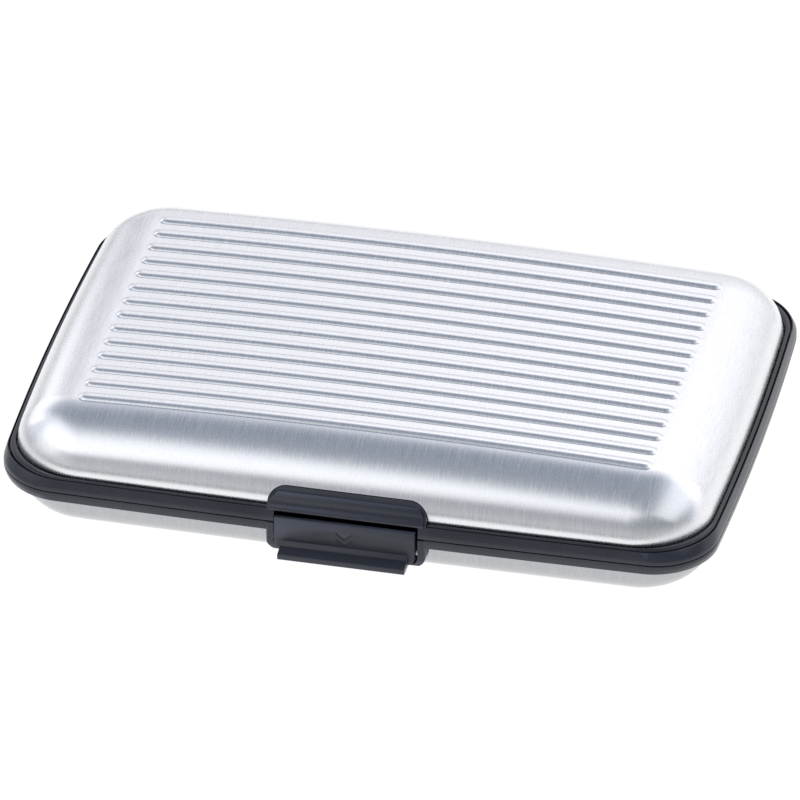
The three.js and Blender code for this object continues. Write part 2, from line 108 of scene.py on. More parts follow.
FLAP_WIDTH = 31.9
LIP_WIDTH = 28.9
FLAP_TOP = 2.1
FLAP_PROUD = 1.4
FLAP_BACK = 0.3
LIP_REACH = 5.0
LIP_BOTTOM = -6.6
FLAP_CORNER = 2.2
CHEEK_INNER = FLAP_WIDTH / 2 + 0.45
CHEEK_OUTER = 18.2
CHEEK_PROUD = 0.25
TAB_HALF_WIDTH = 18.2
HOOD_HALF_WIDTH = 17.7
TAB_TOP = 7.7
TAB_CORNER = 4.2
RECESS_FACE = -0.7
LEDGE_HALF_WIDTH = 14.5
LEDGE_TOP = 1.4
LUG_BOTTOM = -8.0
LUG_CORNER = 4.0
POCKET_BOTTOM = -7.35
POCKET_CORNER = 2.6
LUG_BACK_WALL = -3.4
LUG_BACK = -4.5
LATCH_FORWARD = -1.3
LATCH_UP = -4.2
BOSS_RADIUS = 1.7
BOSS_INNER_END = 4.0
SPRING_WIRE = 0.2
SPRING_COIL = 1.3
SPRING_TURNS = 4.5
SPRING_PITCH = 1.0

HINGE_OFFSET = 2.6
KNUCKLE_RADIUS = 2.2
KNUCKLE_LENGTHS = (7, 10, 7)
HINGE_SPACING = 48
PIN_RADIUS = 0.8
PIN_BORE = PIN_RADIUS + GAP

CORNER_STEPS = 20
SIDE_STEPS = 28

UPPER = {
    "name": "lid", "cad": "upper", "body": "lid", "side": 1,
    "band": UPPER_BAND, "lean": UPPER_LEAN, "land": LID_LAND_UP, "crown": COVER_CROWN,
    "rib": LID_RIB_HEIGHT,
}
LOWER = {
    "name": "base", "cad": "lower", "body": "base", "side": -1,
    "band": LOWER_BAND, "lean": LOWER_LEAN, "land": BASE_LAND_UP, "crown": 0.0,
    "rib": BASE_RIB_HEIGHT,
}

# ---- Outlines ----


def bow(points, half_x, half_y, amount=1.0):
    """Bows the sides of a rounded rectangle outward."""
    a = half_x - SHORT_SIDE_BOW
    b = half_y - LONG_SIDE_BOW
    x, y = points[:, 0], points[:, 1]
    out_x = x + amount * SHORT_SIDE_BOW * (x / a) * (1 - (y / b) ** 2)
    out_y = y + amount * LONG_SIDE_BOW * (y / b) * (1 - (x / a) ** 2)
    return np.stack([out_x, out_y], axis=1)


def rounded_rectangle(half_x, half_y, radius, corner_steps, side_x, side_y):
    """Points of a rounded rectangle, anticlockwise from the foot of its right side.

    side_x and side_y give the stations of its long and short sides, from -1 to 1.
    """
    sides = [(1, 0, side_y), (0, 1, -side_x), (-1, 0, -side_y), (0, -1, side_x)]
    points = []
    for quarter, (nx, ny, stations) in enumerate(sides):
        for s in stations:
            if nx:
                points.append((nx * half_x, s * (half_y - radius)))
            else:
                points.append((s * (half_x - radius), ny * half_y))
        corner_x = (half_x - radius) * (1 if quarter in (0, 3) else -1)
        corner_y = (half_y - radius) * (1 if quarter in (0, 1) else -1)
        for k in range(1, corner_steps):
            angle = (quarter + k / corner_steps) * math.pi / 2
            x = corner_x + radius * math.cos(angle)
            y = corner_y + radius * math.sin(angle)
            points.append((x, y))
    return np.array(points)


def corner_radius(inset):
    """The radius grows from the band to the cover, then shrinks as an inward offset does."""
    if inset <= COVER_INSET:
        return CORNER_RADIUS + (COVER_CORNER_RADIUS - CORNER_RADIUS) * inset / COVER_INSET
    return COVER_CORNER_RADIUS - (inset - COVER_INSET)


def inset_outline(inset, stations_x=None, stations_y=None, corner_steps=CORNER_STEPS):
    """The case's bowed outline, moved inward."""
    even = np.linspace(-1, 1, SIDE_STEPS + 1)
    stations_x = even if stations_x is None else stations_x
    stations_y = even if stations_y is None else stations_y
    half_x = CASE_LENGTH / 2 - inset
    half_y = CASE_DEPTH / 2 - inset
    flat = rounded_rectangle(
        half_x - SHORT_SIDE_BOW, half_y - LONG_SIDE_BOW, corner_radius(inset),
        corner_steps, stations_x, stations_y,
    )
    return bow(flat, half_x, half_y)


def fillet(points, radii, steps=4):
    """Rounds the corners of a 2-D polygon with arcs, each made of short chords."""
    rounded = []
    count = len(points)
    radii = [radii] * count if isinstance(radii, (int, float)) else radii
    for i in range(count):
        before, here, after = (Vector(points[(i + k) % count]) for k in (-1, 0, 1))
        to_before, to_after = before - here, after - here
        angle = to_before.angle(to_after)
        radius = radii[i]
        if radius <= 0 or angle > math.radians(176):
            rounded.append(tuple(here))
            continue
        reach = radius / math.tan(angle / 2)
        limit = 0.48 * min(to_before.length, to_after.length)
        reach = min(reach, limit)
        start = here + to_before.normalized() * reach
        end = here + to_after.normalized() * reach
        for k in range(steps + 1):
            t = k / steps
            rounded.append(tuple(start.lerp(here, t).lerp(here.lerp(end, t), t)))
    return rounded


# ---- Mesh helpers ----


def new_object(name, vertices, faces):
    """A mesh object from vertices in millimetres, with its faces turned outward."""
    mesh = bpy.data.meshes.new(name)
    mesh.from_pydata([tuple(c * MM for c in v) for v in vertices], [], faces)
    bm = bmesh.new()
    bm.from_mesh(mesh)
    bmesh.ops.recalc_face_normals(bm, faces=bm.faces)
    bm.to_mesh(mesh)
    bm.free()
    obj = bpy.data.objects.new(name, mesh)
    bpy.context.scene.collection.objects.link(obj)
    return obj


def apply_modifiers(obj):
    """Bakes an object's modifiers into its mesh."""
    graph = bpy.context.evaluated_depsgraph_get()
    mesh = bpy.data.meshes.new_from_object(obj.evaluated_get(graph))
    obj.modifiers.clear()
    obj.data = mesh
    return obj


def boolean(obj, other, operation):
    """Joins another solid to an object or cuts it away, and removes the other solid."""
    modifier = obj.modifiers.new("boolean", "BOOLEAN")
    modifier.object = other
    modifier.operation = operation
    modifier.solver = "EXACT"
    apply_modifiers(obj)
    bpy.data.objects.remove(other)
    return obj


def shade(obj, sharp_angle=40):
    """Smooth shading with hard edges where faces meet at more than an angle."""
    bm = bmesh.new()
    bm.from_mesh(obj.data)
    bmesh.ops.remove_doubles(bm, verts=bm.verts, dist=2e-7)
    bmesh.ops.dissolve_degenerate(bm, edges=bm.edges, dist=1e-7)
    limit = math.radians(sharp_angle)
    for edge in bm.edges:
        edge.smooth = len(edge.link_faces) == 2 and edge.calc_face_angle(0) < limit
    for face in bm.faces:
        face.smooth = True
    bm.to_mesh(obj.data)
    bm.free()
    return obj


def loft(name, rings, looped=False):
    """A closed solid through rings of equal length, capped at both ends unless it is looped."""
    count = len(rings[0])
    vertices = [tuple(p) for ring in rings for p in ring]
    faces = []
    for r in range(len(rings) if looped else len(rings) - 1):
        here, following = r * count, ((r + 1) % len(rings)) * count
        for i in range(count):
            j = (i + 1) % count
            faces.append((here + i, here + j, following + j, following + i))
    if not looped:
        faces.append(tuple(range(count))[::-1])
        faces.append(tuple(range(len(vertices) - count, len(vertices))))
    return new_object(name, vertices, faces)


def at_height(points, z):
    """2-D points lifted to a height."""
    return [(x, y, z) for x, y in points]


def prism(name, points, axis, start, end, bevel=0.0, segments=3):
    """A 2-D outline extruded along a row axis: (y, z) along x, (x, z) along y, (x, y) along z."""
    place = {
        "x": lambda u, v, w: (w, u, v),
        "y": lambda u, v, w: (u, w, v),
        "z": lambda u, v, w: (u, v, w),
    }[axis]
    rings = [[place(u, v, w) for u, v in points] for w in (start, end)]
    solid = loft(name, rings)
    if bevel:
        soften(solid, bevel, segments, 30)
    return solid


def soften(obj, width, segments, angle):
    """Rounds the edges of an object that are sharper than an angle in degrees."""
    modifier = obj.modifiers.new("edges", "BEVEL")
    modifier.width = width * MM
    modifier.segments = segments
    modifier.limit_method = "ANGLE"
    modifier.angle_limit = math.radians(angle)
    return apply_modifiers(obj)


def circle(u, v, radius, steps=40):
    """The points of a circle in its own plane."""
    turns = (2 * math.pi * k / steps for k in range(steps))
    return [(u + radius * math.cos(t), v + radius * math.sin(t)) for t in turns]


def box(name, x, y, z):
    """A plain block, for cutting."""
    corners = [(x[0], y[0]), (x[1], y[0]), (x[1], y[1]), (x[0], y[1])]
    return prism(name, corners, "z", z[0], z[1])


def place_piece(obj, body, slot, material, *nodes):
    """Gives a finished piece its body and its material, and hides the CAD nodes it stands for. The slot
    argument is not used.
    """
    obj.data.materials.clear()
    obj.data.materials.append(material)
    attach(obj, body)
    if nodes:
        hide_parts(*nodes)
    return obj


# ---- Materials ----


class Nodes:
    """A small helper that builds one node material."""

    def __init__(self, name, colour, metallic=0.0, roughness=0.5):
        self.material = bpy.data.materials.new(name)
        self.material.use_nodes = True
        self.tree = self.material.node_tree
        self.shader = self.tree.nodes["Principled BSDF"]
        self.shader.inputs["Base Color"].default_value = (*colour, 1)
        self.shader.inputs["Metallic"].default_value = metallic
        self.shader.inputs["Roughness"].default_value = roughness

    def add(self, kind, inputs=None, **settings):
        node = self.tree.nodes.new(kind)
        for key, value in settings.items():
            setattr(node, key, value)
        for key, value in (inputs or {}).items():
            if isinstance(value, bpy.types.NodeSocket):
                self.tree.links.new(value, node.inputs[key])
            else:
                node.inputs[key].default_value = value
        return node

    def link(self, socket, name):
        self.tree.links.new(socket, self.shader.inputs[name])

    def noise(
        self, scale, detail=3.0, roughness=0.55, stretch=(1, 1, 1), location=(0, 0, 0), where=None,
    ):
        """Noise on the object's own metres, or on other coordinates, finer where the scale is larger."""
        where = where or self.add("ShaderNodeTexCoord").outputs["Object"]
        mapped = self.add(
            "ShaderNodeMapping", {"Vector": where, "Scale": stretch, "Location": location},
        ).outputs["Vector"]
        return self.add(
            "ShaderNodeTexNoise",
            {"Vector": mapped, "Scale": scale, "Detail": detail, "Roughness": roughness},
        ).outputs["Fac"]

    def span(self, value, low, high, from_low=0.0, from_high=1.0):
        """A value moved from one range to another."""
        return self.add(
            "ShaderNodeMapRange",
            {
                "Value": value, "From Min": from_low, "From Max": from_high,
                "To Min": low, "To Max": high,
            },
        ).outputs["Result"]

    def mix(self, factor, first, second):
        node = self.add("ShaderNodeMix", data_type="RGBA")
        sockets = [s for s in node.inputs if s.type == "RGBA"]
        for socket, value in zip(sockets, (first, second)):
            if isinstance(value, bpy.types.NodeSocket):
                self.tree.links.new(value, socket)
            else:
                socket.default_value = (*value, 1)
        self.tree.links.new(factor, node.inputs["Factor"])
        return next(s for s in node.outputs if s.type == "RGBA")

    def bump(self, height, distance, strength=1.0, normal=None):
        inputs = {"Height": height, "Distance": distance * MM, "Strength": strength}
        if normal is not None:
            inputs["Normal"] = normal
        return self.add("ShaderNodeBump", inputs).outputs["Normal"]


def brushed_aluminium(name, dark, light):
    """Satin aluminium, brushed front to back, so its highlights spread along the length."""
    m = Nodes(name, light, metallic=1.0, roughness=0.26)
    flat = m.add("ShaderNodeUVMap", uv_map="brush").outputs["UV"]
    lines = m.noise(1.0, detail=3, roughness=0.6, stretch=(860, 30, 1), where=flat)
    fine = m.noise(
        1.0, detail=2, roughness=0.6, stretch=(1900, 130, 1), location=(3, 5, 7), where=flat,
    )
    cloud = m.noise(22, detail=2)
    tone = m.add("ShaderNodeMath", {0: lines, 1: fine}, operation="ADD").outputs[0]
    tone = m.span(tone, 0, 1, 0.75, 1.25)
    m.link(m.mix(tone, dark, light), "Base Color")
    rough = m.span(lines, 0.22, 0.32, 0.3, 0.7)
    patchy = m.span(cloud, -0.02, 0.02)
    rough = m.add("ShaderNodeMath", {0: rough, 1: patchy}, operation="ADD").outputs[0]
    m.link(rough, "Roughness")
    m.shader.inputs["Anisotropic"].default_value = 0.75
    tangent = m.add("ShaderNodeTangent", direction_type="UV_MAP", uv_map="brush").outputs["Tangent"]
    m.link(tangent, "Tangent")
    m.link(m.bump(lines, 0.0016, 0.25, m.bump(fine, 0.0012, 0.2)), "Normal")
    return m.material


def moulded_plastic(name, dark, light, roughness, grain=0.012):
    """Satin moulded plastic: fine texture, faint cloudiness, and sharp edges painted lighter as a
    painted highlight.
    """
    m = Nodes(name, dark, roughness=roughness)
    cloud = m.noise(60, detail=4)
    speck = m.noise(2600, detail=2)
    edge = m.add("ShaderNodeNewGeometry").outputs["Pointiness"]
    # Painted highlight: sharp edges, found by pointiness, are mixed towards a much lighter colour.
    painted_edge_highlight = m.span(edge, 0, 0.55, 0.52, 0.62)
    base = m.mix(m.span(cloud, 0, 1, 0.3, 0.7), dark, light)
    m.link(m.mix(painted_edge_highlight, base, tuple(min(1, c * 3.2) for c in light)), "Base Color")
    m.link(m.span(speck, roughness - 0.05, roughness + 0.07, 0.3, 0.7), "Roughness")
    m.link(m.bump(speck, grain, 0.5, m.bump(cloud, 0.05, 0.15)), "Normal")
    return m.material


def flock():
    """Short upright fibres glued to a moulded tray."""
    m = Nodes("flock_lining", (0.03, 0.031, 0.036), roughness=0.95)
    fibre = m.noise(5200, detail=3, roughness=0.8)
    patch = m.noise(140, detail=3)
    tone = m.add("ShaderNodeMath", {0: fibre, 1: patch}, operation="MULTIPLY").outputs[0]
    tone = m.span(tone, 0, 1, 0.12, 0.42)
    m.link(m.mix(tone, (0.016, 0.017, 0.02), (0.07, 0.073, 0.085)), "Base Color")
    m.shader.inputs["Sheen Weight"].default_value = 0.5
    m.shader.inputs["Sheen Roughness"].default_value = 0.4
    m.link(m.bump(fibre, 0.12, 0.8), "Normal")
    return m.material


def knit():
    """The knitted face of a foam pad: rows of small stitches."""
    m = Nodes("knit_foam", (0.06, 0.062, 0.072), roughness=0.9)
    where = m.add("ShaderNodeTexCoord").outputs["Object"]
    wales = m.add(
        "ShaderNodeTexWave", {"Vector": where, "Scale": 420, "Distortion": 0.6, "Detail": 1.0},
        wave_type="BANDS", bands_direction="X",
    ).outputs["Fac"]
    courses = m.add(
        "ShaderNodeTexWave", {"Vector": where, "Scale": 560, "Distortion": 0.8, "Detail": 1.0},
        wave_type="BANDS", bands_direction="Y",
    ).outputs["Fac"]
    stitch = m.add("ShaderNodeMath", {0: wales, 1: courses}, operation="MULTIPLY").outputs[0]
    patch = m.noise(90, detail=3)
    shade_of = m.add("ShaderNodeMath", {0: stitch, 1: patch}, operation="MULTIPLY").outputs[0]
    tone = m.span(shade_of, 0, 1, 0.0, 0.5)
    m.link(m.mix(tone, (0.035, 0.037, 0.045), (0.13, 0.135, 0.155)), "Base Color")
    m.shader.inputs["Sheen Weight"].default_value = 0.3
    m.link(m.bump(stitch, 0.15, 0.7), "Normal")
    return m.material


def drawn_steel(name, colour, roughness):
    """Drawn steel wire, with faint rings along its length."""
    m = Nodes(name, colour, metallic=1.0, roughness=roughness)
    rings = m.noise(1.0, detail=3, stretch=(5200, 500, 500))
    m.link(m.mix(rings, tuple(c * 0.8 for c in colour), colour), "Base Color")
    m.link(m.span(rings, roughness - 0.06, roughness + 0.1, 0.3, 0.7), "Roughness")
    m.link(m.bump(rings, 0.006, 0.5), "Normal")
    return m.material


# ---- Covers and trays ----


def rib_rise(x, y):
    """How far the pressed ribs stand above the land at a point, as a part of their full height."""
    spine = RIB_HALF_LENGTH - RIB_HALF_WIDTH
    index = np.clip(np.round(y / RIB_PITCH + (RIB_COUNT - 1) / 2), 0, RIB_COUNT - 1)
    middle = (index - (RIB_COUNT - 1) / 2) * RIB_PITCH
    past = np.maximum(np.abs(x) - spine, 0)
    distance = np.hypot(past, y - middle) / RIB_HALF_WIDTH
    arch = 1 - distance ** RIB_FULLNESS
    return 0.5 * (arch + np.sqrt(arch ** 2 + RIB_FOOT ** 2))


def rib_lines():
    """Stations across the ribs: close together on a rib and at its feet."""
    across = (0, 0.2, 0.38, 0.52, 0.64, 0.74, 0.82, 0.89, 0.95, 1.0, 1.05, 1.12, 1.25)
    lines = [-PLATEAU_Y, PLATEAU_Y]
    for i in range(RIB_COUNT):
        middle = (i - (RIB_COUNT - 1) / 2) * RIB_PITCH
        for t in across:
            lines += [middle + t * RIB_HALF_WIDTH, middle - t * RIB_HALF_WIDTH]
    inside = [y for y in lines if abs(y) <= PLATEAU_Y]
    return np.unique(np.round(inside, 4))


def length_lines():
    """Stations along the ribs: close together at their round ends."""
    end = np.linspace(PLATEAU_X - 2.6, PLATEAU_X, 9)
    middle = np.linspace(-end[0], end[0], 41)[1:-1]
    return np.concatenate([-end[::-1], middle, end])


def shell_surface(lines_x, lines_y, foot, turns, height, corner_steps=14):
    """A plateau with an elliptical shoulder down to a foot outline.

    Returns the vertices, the faces, the "brush" coordinates and the last ring's indices.
    """
    nx, ny = len(lines_x), len(lines_y)
    grid = [(x, y) for x in lines_x for y in lines_y]
    right = [(nx - 1) * ny + j for j in range(ny)]
    back = [i * ny + ny - 1 for i in range(nx - 1, -1, -1)]
    left = [j for j in range(ny - 1, -1, -1)]
    front = [i * ny for i in range(nx)]
    edge = []
    for side in (right, back, left, front):
        edge += side + [side[-1]] * (corner_steps - 1)
    plateau = np.array([grid[i] for i in edge])
    step = foot - plateau
    reach = np.linalg.norm(step, axis=1)
    outward = step / reach[:, None]
    vertices = [(x, y, height(np.array([x]), np.array([y]), 1.0)[0]) for x, y in grid]
    brush = [(x, y) for x, y in grid]
    faces = [
        (i * ny + j, (i + 1) * ny + j, (i + 1) * ny + j + 1, i * ny + j + 1)
        for i in range(nx - 1) for j in range(ny - 1)
    ]
    previous = edge
    travelled = np.zeros(len(edge))
    last = np.column_stack([plateau, [vertices[i][2] for i in edge]])
    for turn in turns:
        plan = plateau + step * math.cos(turn)
        z = height(plan[:, 0], plan[:, 1], math.sin(turn))
        ring = np.column_stack([plan, z])
        travelled = travelled + np.linalg.norm(ring - last, axis=1)
        last = ring
        start = len(vertices)
        vertices += [tuple(p) for p in ring]
        brush += [tuple(p + o * t) for p, o, t in zip(plateau, outward, travelled)]
        current = list(range(start, start + len(edge)))
        for k in range(len(edge)):
            n = (k + 1) % len(edge)
            face = (previous[k], current[k], current[n], previous[n])
            if previous[k] == previous[n]:
                face = (previous[k], current[k], current[n])
            faces.append(face)
        previous = current
    return vertices, faces, brush, previous


def shoulder_turns(steps):
    """Angles from just past the plateau down to the foot, closer together by the ribs' ends."""
    reach = 16.0
    past_plateau = (0.3, 0.7, 1.1, 1.4, 1.65, 1.85, 2.05, 2.4)
    near = [math.acos(d / reach) for d in past_plateau]
    rest = np.linspace(near[-1], 0, steps + 1)[1:]
    return near + list(rest)


def cover(half):
    """A pressed cover: ribbed plateau, shoulder and skirt, as one sheet with thickness."""
    side = half["side"]

    def height(x, y, rise):
        crown = half["crown"] * np.clip(1 - (x / PLATEAU_X) ** 2, 0, 1)
        smooth = SHOULDER_START + (half["land"] - SHOULDER_START + crown) * rise
        return PARTING + side * (smooth + half["rib"] * rib_rise(x, y))

    lines_x, lines_y = length_lines(), rib_lines()
    corner_steps = 14
    foot = inset_outline(COVER_INSET, lines_x / PLATEAU_X, lines_y / PLATEAU_Y, corner_steps)
    vertices, faces, brush, rim = shell_surface(
        lines_x, lines_y, foot, shoulder_turns(26), height, corner_steps,
    )
    skirt = FLANGE_THICKNESS + GAP * 1.5
    for up in (2.3, skirt):
        start = len(vertices)
        vertices += [(x, y, PARTING + side * up) for x, y in foot]
        outward = foot / np.linalg.norm(foot, axis=1)[:, None]
        brush += [tuple(np.array(brush[r]) + o * 0.6) for r, o in zip(rim, outward)]
        ring = list(range(start, start + len(foot)))
        for k in range(len(foot)):
            n = (k + 1) % len(foot)
            faces.append((rim[k], ring[k], ring[n], rim[n]))
        rim = ring
    obj = new_object(half["name"] + "_cover", vertices, faces)
    layer = obj.data.uv_layers.new(name="brush")
    for loop in obj.data.loops:
        u, v = brush[loop.vertex_index]
        layer.data[loop.index].uv = (u / 200 + 0.5, v / 200 + 0.5)
    if sum(p.normal.z * p.area for p in obj.data.polygons) * side < 0:
        obj.data.flip_normals()
    sheet = obj.modifiers.new("sheet", "SOLIDIFY")
    sheet.thickness = COVER_SHEET * MM
    sheet.offset = -1
    apply_modifiers(obj)
    boolean(obj, notch_cutter(half), "DIFFERENCE")
    return shade(obj, 38)


def tab_window(half_width, near, far, radius, steps=10):
    """A rectangle in (x, z) whose corners away from the parting plane are rounded."""
    sign = 1 if far > near else -1
    points = [(-half_width, PARTING + near), (half_width, PARTING + near)]
    for end in (1, -1):
        for k in range(steps + 1):
            t = (k if end > 0 else steps - k) / steps * math.pi / 2
            x = end * (half_width - radius + radius * math.cos(t))
            points.append((x, PARTING + far - sign * radius * (1 - math.sin(t))))
    return points


def notch_cutter(half):
    """The cutter that clears a cover and a ring for the catch tab or the lug."""
    upper = half["side"] > 0
    half_width = (TAB_HALF_WIDTH if upper else CHEEK_OUTER) + GAP / 2
    far = TAB_TOP + GAP / 2 if upper else LUG_BOTTOM - GAP / 2
    radius = (TAB_CORNER if upper else LUG_CORNER) + GAP / 2
    window = tab_window(half_width, half["side"] * GAP, far, radius)
    return prism("cutter", window, "y", FRONT - 1, FRONT + 9)


def tray(half):
    """A flocked tray: a thin moulded shell with a rim over the frame's flange."""
    side = half["side"]
    lines_x = np.linspace(-PLATEAU_X, PLATEAU_X, 41)
    lines_y = np.linspace(-PLATEAU_Y, PLATEAU_Y, 25)
    corner_steps = 14
    rings_of = []
    for inset, top in ((TRAY_INSET, TRAY_UP), (TRAY_INSET + TRAY_WALL, TRAY_UP - TRAY_WALL)):
        def height(x, y, rise, top=top):
            up = SHOULDER_START + (top - SHOULDER_START) * rise
            return np.full(len(x), PARTING + side * up)
        foot = inset_outline(inset, lines_x / PLATEAU_X, lines_y / PLATEAU_Y, corner_steps)
        surface = shell_surface(
            lines_x, lines_y, foot, shoulder_turns(14), height, corner_steps,
        )
        rings_of.append((foot, surface))
    (outer_foot, outer), (inner_foot, inner) = rings_of
    vertices = list(outer[0])
    faces = list(outer[1])
    shift = len(vertices)
    vertices += inner[0]
    faces += [tuple(i + shift for i in face[::-1]) for face in inner[1]]
    rim_top = GAP / 2 + FLANGE_THICKNESS + GAP + TRAY_WALL
    brim = inset_outline(TRAY_INSET - TRAY_RIM, lines_x / PLATEAU_X, lines_y / PLATEAU_Y, corner_steps)
    stages = [
        (outer_foot, rim_top), (brim, rim_top), (brim, rim_top - TRAY_WALL),
        (outer_foot, rim_top - TRAY_WALL), (outer_foot, GAP * 1.5 + 0.2),
        ((outer_foot * 0.75 + inner_foot * 0.25), GAP * 1.5),
        ((outer_foot * 0.25 + inner_foot * 0.75), GAP * 1.5), (inner_foot, GAP * 1.5 + 0.2),
    ]
    rim = outer[3]
    for outline_points, up in stages:
        start = len(vertices)
        vertices += [(x, y, PARTING + side * up) for x, y in outline_points]
        ring = list(range(start, start + len(outline_points)))
        faces += [
            (rim[k], ring[k], ring[(k + 1) % len(ring)], rim[(k + 1) % len(ring)])
            for k in range(len(ring))
        ]
        rim = ring
    last = [i + shift for i in inner[3]]
    faces += [
        (rim[k], last[k], last[(k + 1) % len(last)], rim[(k + 1) % len(last)])
        for k in range(len(last))
    ]
    obj = new_object(half["name"] + "_tray", vertices, faces)
    notch = box(
        "cutter", (-CHEEK_OUTER - GAP, CHEEK_OUTER + GAP),
        (FRONT - 1, FRONT - LUG_BACK + GAP), (-1, PARTING * 2 + 2),
    )
    boolean(obj, notch, "DIFFERENCE")
    return shade(obj, 40)


def foam_pad(half):
    """A soft pad: flat against the tray, crowned on its free face, pulled in round its edge."""
    side = half["side"]
    floor = TRAY_UP - TRAY_WALL - 0.05
    count = 25
    around = rounded_rectangle(
        PAD_HALF_X, PAD_HALF_Y, PAD_RADIUS, 12, np.linspace(-1, 1, 40), np.linspace(-1, 1, 24),
    )
    top, bottom = [], []
    for k in range(count + 1):
        inward = 1 - math.cos(math.pi / 2 * k / count)
        scale_x = 1 - inward
        swell = 1 - (1 - min(1, inward * PAD_HALF_Y / 3.2)) ** 2.5
        ring = around * scale_x
        heights = []
        for x, y in ring:
            ripple = 0.05 * noise.noise(Vector((x * 0.09, y * 0.11, side * 3.0)))
            heights.append(0.35 + (PAD_THICKNESS - 0.35 + ripple) * max(swell, 0) ** 0.5)
        top.append([(x, y, PARTING + side * (floor - h)) for (x, y), h in zip(ring, heights)])
    for x, y in around * 0.997:
        bottom.append((x, y, PARTING + side * floor))
    obj = loft(half["name"] + "_foam_pad", [bottom] + top[:-1])
    return shade(obj, 50)


# ---- Frames and rings ----


def swept(name, half, profile):
    """A closed profile of (inset, up) points carried round the case."""
    rings = [
        at_height(inset_outline(inset), PARTING + half["side"] * up) for inset, up in profile
    ]
    return loft(name, rings, looped=True)


def band(half):
    """A frame's plain band: an outer face that leans inward, and a flange at the parting plane."""
    start = GAP / 2 - BAND_OVERRUN
    flange_top = start + FLANGE_THICKNESS
    points = [
        (0, start), (0, BAND_UPRIGHT), (half["lean"], half["band"]), (BAND_WALL, half["band"]),
        (BAND_WALL, flange_top), (FLANGE_REACH, flange_top), (FLANGE_REACH, start),
    ]
    profile = fillet(points, [0.12, 3, 0.12, 0.05, 0, 0.15, 0.15], steps=4)
    return swept(half["name"] + "_frame", half, profile)


def retaining_ring(half):
    """The bead between a band and the foot of its cover, open at the latch."""
    foot = FLANGE_THICKNESS + GAP
    top = half["band"] + 0.25
    points = [
        (RING_INSET, foot), (RING_INSET, top), (RING_INSET + RING_WIDTH, top),
        (RING_INSET + RING_WIDTH, foot),
    ]
    profile = fillet(points, [0, 0.42, 0.42, 0], steps=6)
    ring = swept(half["name"] + "_retaining_ring", half, profile)
    boolean(ring, notch_cutter(half), "DIFFERENCE")
    return shade(ring, 35)


def latch_profile(points, radii=0.0, steps=4):
    """A (forward, up) profile as (y, z) points, with its corners rounded."""
    flat = [(FRONT - forward, PARTING + up) for forward, up in points]
    return fillet(flat, radii, steps)


def catch_tab():
    """The tab on the lid's frame: a plate in the cover's notch, a sloping hood and the catch ledge."""
    start = GAP / 2
    plate = prism("plate", latch_profile(
        [
            (LUG_BACK, start), (LUG_BACK, TAB_TOP), (-3.45, TAB_TOP), (-2.6, 6.5), (-2.05, 5),
            (RECESS_FACE, 3.4), (RECESS_FACE, start),
        ],
        [0, 0, 0.3, 0.5, 1, 0.2, 0],
    ), "x", -TAB_HALF_WIDTH, TAB_HALF_WIDTH)
    outline = tab_window(TAB_HALF_WIDTH, start, TAB_TOP, TAB_CORNER)
    boolean(plate, prism("front", outline, "y", FRONT - 8, FRONT + 8), "INTERSECT")
    hood = prism("hood", latch_profile(
        [
            (-3.4, 5.6), (-2.75, 6.95), (-0.75, 5.45), (0.06, 3.6), (0.02, 3.05), (-1.2, 2.95),
            (-1.8, 3.4),
        ],
        [0, 0.35, 3, 0.6, 0.12, 0, 0],
        6,
    ), "x", -HOOD_HALF_WIDTH, HOOD_HALF_WIDTH)
    window = tab_window(HOOD_HALF_WIDTH, 0, 7.3, TAB_CORNER - 0.5)
    boolean(hood, prism("front", window, "y", FRONT - 8, FRONT + 8), "INTERSECT")
    soften(hood, 0.5, 4, 38)
    boolean(plate, hood, "UNION")
    ledge = box(
        "ledge", (-LEDGE_HALF_WIDTH, LEDGE_HALF_WIDTH), (FRONT, FRONT - RECESS_FACE + 0.3),
        (PARTING + start, PARTING + LEDGE_TOP),
    )
    return boolean(plate, ledge, "UNION")


def latch_lug():
    """The lug on the base's frame: a rounded block, with the pocket for the flap cut into it."""
    start = -GAP / 2
    lug = prism("lug", latch_profile(
        [
            (LUG_BACK, start), (LUG_BACK, LUG_BOTTOM), (-1.6, LUG_BOTTOM), (-0.4, -7.3), (0.1, -5.8),
            (CHEEK_PROUD, -4), (CHEEK_PROUD, start),
        ],
        [0, 0, 0.8, 1, 1, 1, 0.1],
    ), "x", -CHEEK_OUTER, CHEEK_OUTER)
    plan = [
        (-CHEEK_OUTER, LUG_BACK), (-CHEEK_OUTER, CHEEK_PROUD), (CHEEK_OUTER, CHEEK_PROUD),
        (CHEEK_OUTER, LUG_BACK),
    ]
    rounded = fillet([(x, FRONT - forward) for x, forward in plan], [0, 0.9, 0.9, 0], 6)
    boolean(lug, prism("plan", rounded, "z", PARTING + LUG_BOTTOM, PARTING + start), "INTERSECT")
    window = tab_window(CHEEK_OUTER + 0.05, start, LUG_BOTTOM, LUG_CORNER)
    return boolean(lug, prism("front", window, "y", FRONT - 8, FRONT + 8), "INTERSECT")


def knuckle(half, start, end):
    """One hinge barrel and the web that joins it to the band."""
    side = half["side"]
    axis_y = CASE_DEPTH / 2 + HINGE_OFFSET
    barrel = prism("barrel", circle(axis_y, PARTING, KNUCKLE_RADIUS, 48), "x", start, end, 0.25, 3)
    low, high = side * (GAP / 2 + 0.1), side * (half["band"] - 0.15)
    web = [
        (CASE_DEPTH / 2 - RING_INSET, low), (CASE_DEPTH / 2 - RING_INSET, high),
        (CASE_DEPTH / 2 - 0.2, high), (axis_y, side * KNUCKLE_RADIUS * 0.985), (axis_y, low),
    ]
    points = fillet([(y, PARTING + up) for y, up in web], [0, 0, 1.5, 0, 0], 5)
    return boolean(barrel, prism("web", points, "x", start, end), "UNION")


def knuckle_spans(end):
    """The stations of one hinge's three knuckles: base, lid, base."""
    x = end * HINGE_SPACING - sum(KNUCKLE_LENGTHS) / 2
    spans = []
    for length in KNUCKLE_LENGTHS:
        spans.append((x + GAP / 2, x + length - GAP / 2))
        x += length
    return spans


